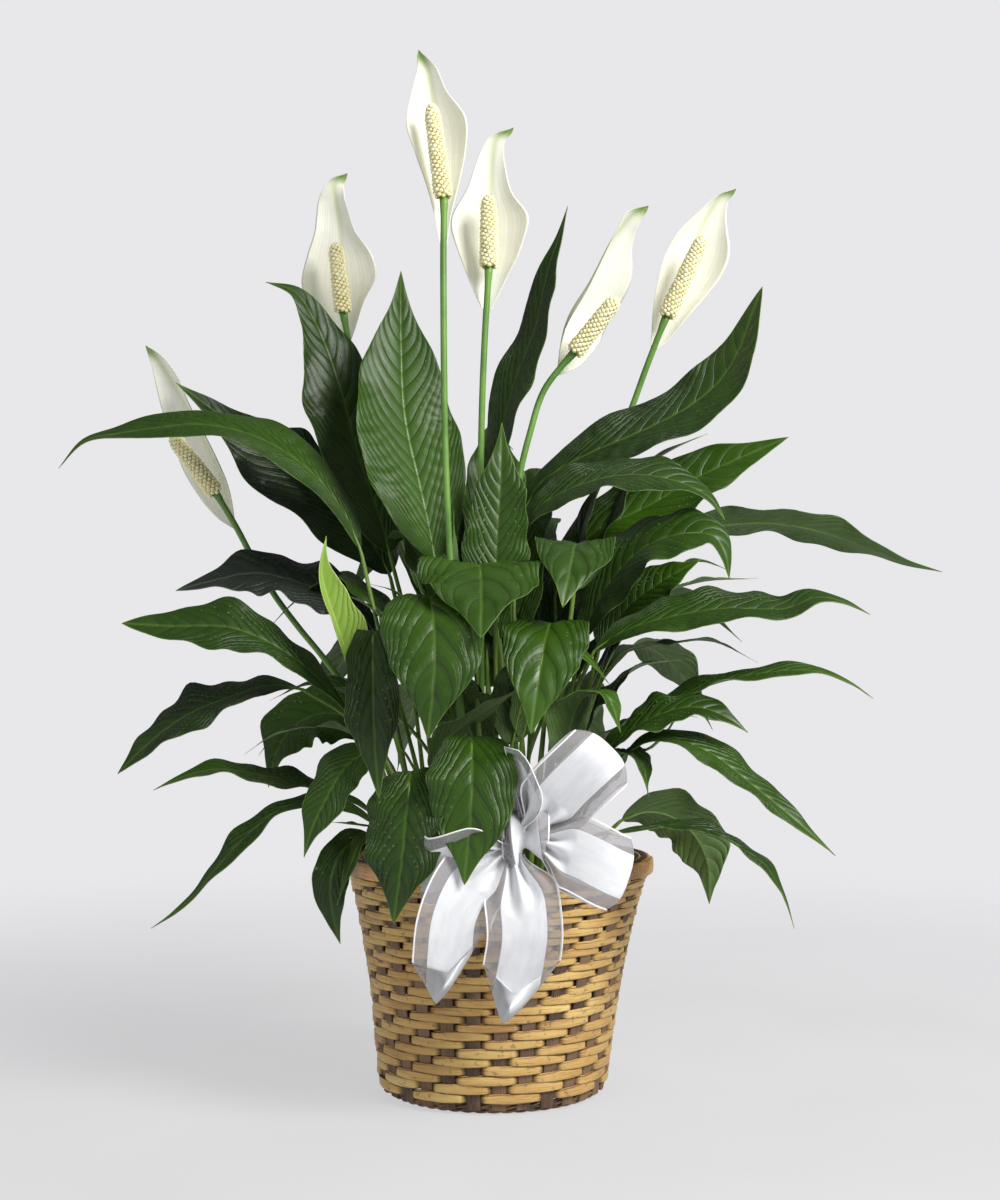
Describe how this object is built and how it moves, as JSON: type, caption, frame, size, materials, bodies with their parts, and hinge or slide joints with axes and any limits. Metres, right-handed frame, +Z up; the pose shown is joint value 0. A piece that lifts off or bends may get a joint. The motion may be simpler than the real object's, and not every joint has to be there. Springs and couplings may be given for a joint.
{
  "type": "potted peace lily",
  "caption": "Potted peace lily with pleated green leaves and white spathes, in a round woven wicker basket with a white ribbon bow.",
  "frame": {"origin": "middle of the basket's flat underside, on the surface it stands on", "axes": "+Z up the plant; -Y towards the side that carries the bow; +X to the right as seen from that side"},
  "size_m": [0.6725, 0.4108, 0.7712],
  "materials": {
    "wicker": "satin",
    "rim_wood": "satin",
    "foot_reed": "matte",
    "pot_plastic": "satin",
    "soil": "matte",
    "leaf": "satin",
    "young_leaf": "satin",
    "dark_leaf": "satin",
    "stem": "satin",
    "spathe": "satin",
    "spadix": "matte",
    "ribbon": "satin"
  },
  "bodies": {
    "root": {"basket_wall": "wicker", "basket_rim_band": "rim_wood", "basket_foot_braid": "foot_reed", "grow_pot": "pot_plastic", "potting_soil": "soil", "leaf_tall_front": "leaf", "leaf_centre": "leaf", "leaf_upper_left": "leaf", "leaf_upper_right_narrow": "leaf", "leaf_upper_right_long": "leaf", "leaf_left_long": "leaf", "leaf_left_hanging": "leaf", "leaf_left_dark": "dark_leaf", "leaf_young": "young_leaf", "leaf_left_middle_long": "leaf", "leaf_left_lower_long": "leaf", "leaf_left_broad": "leaf", "leaf_left_low_long": "leaf", "leaf_left_low_narrow": "leaf", "leaf_left_drooping": "leaf", "leaf_left_over_rim": "leaf", "leaf_right_striped_upper": "leaf", "leaf_right_arched_upper": "leaf", "leaf_far_right": "leaf", "leaf_right_broad": "leaf", "leaf_right_striped_middle": "leaf", "leaf_right_middle_long": "leaf", "leaf_right_lower_long": "leaf", "leaf_right_lower_short": "leaf", "leaf_right_drooping": "leaf", "leaf_right_low_arch": "leaf", "leaf_right_low_broad": "leaf", "leaf_front_crown": "leaf", "leaf_front_upper_right": "leaf", "leaf_front_right": "leaf", "leaf_front_left": "leaf", "leaf_front_left_narrow": "leaf", "leaf_front_rim": "leaf", "leaf_front_rim_left": "leaf", "leaf_back_right": "leaf", "leaf_back_left": "leaf", "flower_stem_far_left": "stem", "spadix_far_left": "spadix", "spathe_far_left": "spathe", "flower_stem_left": "stem", "spadix_left": "spadix", "spathe_left": "spathe", "flower_stem_tallest": "stem", "spadix_tallest": "spadix", "spathe_tallest": "spathe", "flower_stem_centre": "stem", "spadix_centre": "spadix", "spathe_centre": "spathe", "flower_stem_right": "stem", "spadix_right": "spadix", "spathe_right": "spathe", "flower_stem_far_right": "stem", "spadix_far_right": "spadix", "spathe_far_right": "spathe", "ribbon_bow": "ribbon"}
  },
  "joints": []
}
